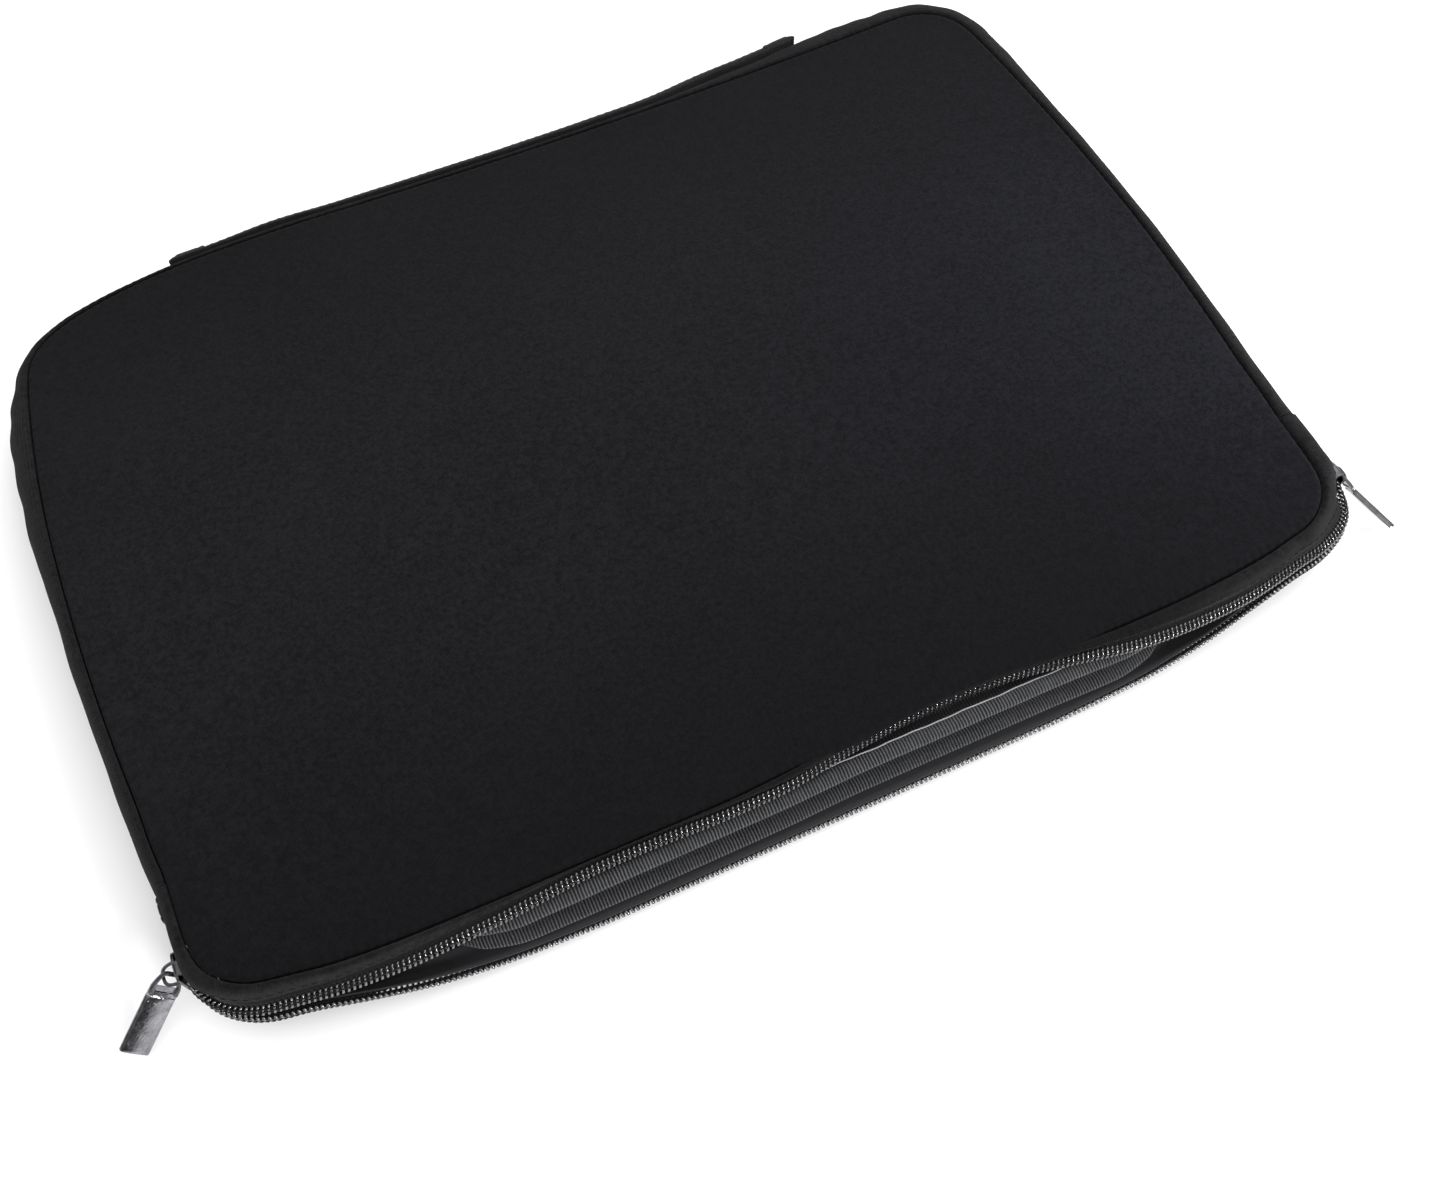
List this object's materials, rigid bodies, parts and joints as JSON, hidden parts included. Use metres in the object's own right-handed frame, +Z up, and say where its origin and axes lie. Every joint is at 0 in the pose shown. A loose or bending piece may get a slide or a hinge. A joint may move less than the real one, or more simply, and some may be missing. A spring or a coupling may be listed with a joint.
{
  "type": "laptop sleeve",
  "caption": "Slim neoprene laptop sleeve lying flat, with a wrap-round coil zip standing open at the front, two metal pullers and a spine carry strap.",
  "frame": {"origin": "on the flat underside of the bottom panel, midway between the two side seams and between the mouth and the spine seam", "axes": "+X along the sleeve's width, +Z up from the table, the zipped mouth faces -Y and the spine with its carry strap faces +Y"},
  "size_m": [0.4163, 0.2865, 0.0298],
  "materials": {
    "neoprene": "matt knit jersey over foam, near black",
    "lining": "brushed knit, dark grey",
    "edge_guard": "ribbed knit, grey",
    "zip_tape": "woven polyester tape, black",
    "zip_coil": "bright nylon coil, black",
    "gunmetal": "dark plated die-cast zinc, glossy"
  },
  "bodies": {
    "sleeve": {"top_panel": "neoprene", "bottom_panel": "neoprene", "spine_gusset": "neoprene", "upper_mouth_strip": "neoprene", "lower_mouth_strip": "neoprene", "left_zip_end_tab": "neoprene", "right_zip_end_tab": "neoprene", "left_handle_tab": "neoprene", "right_handle_tab": "neoprene", "top_lining": "lining", "bottom_lining": "lining", "upper_seam_binding": "edge_guard", "lower_seam_binding": "edge_guard", "upper_zip_guard": "edge_guard", "lower_zip_guard": "edge_guard", "upper_zip_tape": "zip_tape", "lower_zip_tape": "zip_tape", "upper_zip_coil": "zip_coil", "lower_zip_coil": "zip_coil"},
    "left_slider": {"left_slider": "gunmetal"},
    "left_puller": {"left_puller": "gunmetal"},
    "right_slider": {"right_slider": "gunmetal"},
    "right_puller": {"right_puller": "gunmetal"},
    "handle": {"handle_strap": "neoprene"}
  },
  "joints": [
    {"name": "left_slider_run", "type": "hinge", "parent": "sleeve", "child": "left_slider", "pos_m": [-0.1622, -0.1113, 0.0152], "axis": [0, 0, 1], "range_deg": [0, 38]},
    {"name": "right_slider_run", "type": "hinge", "parent": "sleeve", "child": "right_slider", "pos_m": [0.167, -0.1108, 0.0152], "axis": [0, 0, -1], "range_deg": [0, 38]},
    {"name": "left_puller_swing", "type": "hinge", "parent": "left_slider", "child": "left_puller", "pos_m": [-0.1891, -0.1113, 0.0152], "axis": [0, 0, 1], "range_deg": [-100, 12]},
    {"name": "right_puller_swing", "type": "hinge", "parent": "right_slider", "child": "right_puller", "pos_m": [0.194, -0.1108, 0.0152], "axis": [0, 0, -1], "range_deg": [-110, 25]},
    {"name": "handle_bow", "type": "slide", "parent": "sleeve", "child": "handle", "axis": [0, 1, 0], "range_m": [0, 0.02]}
  ]
}
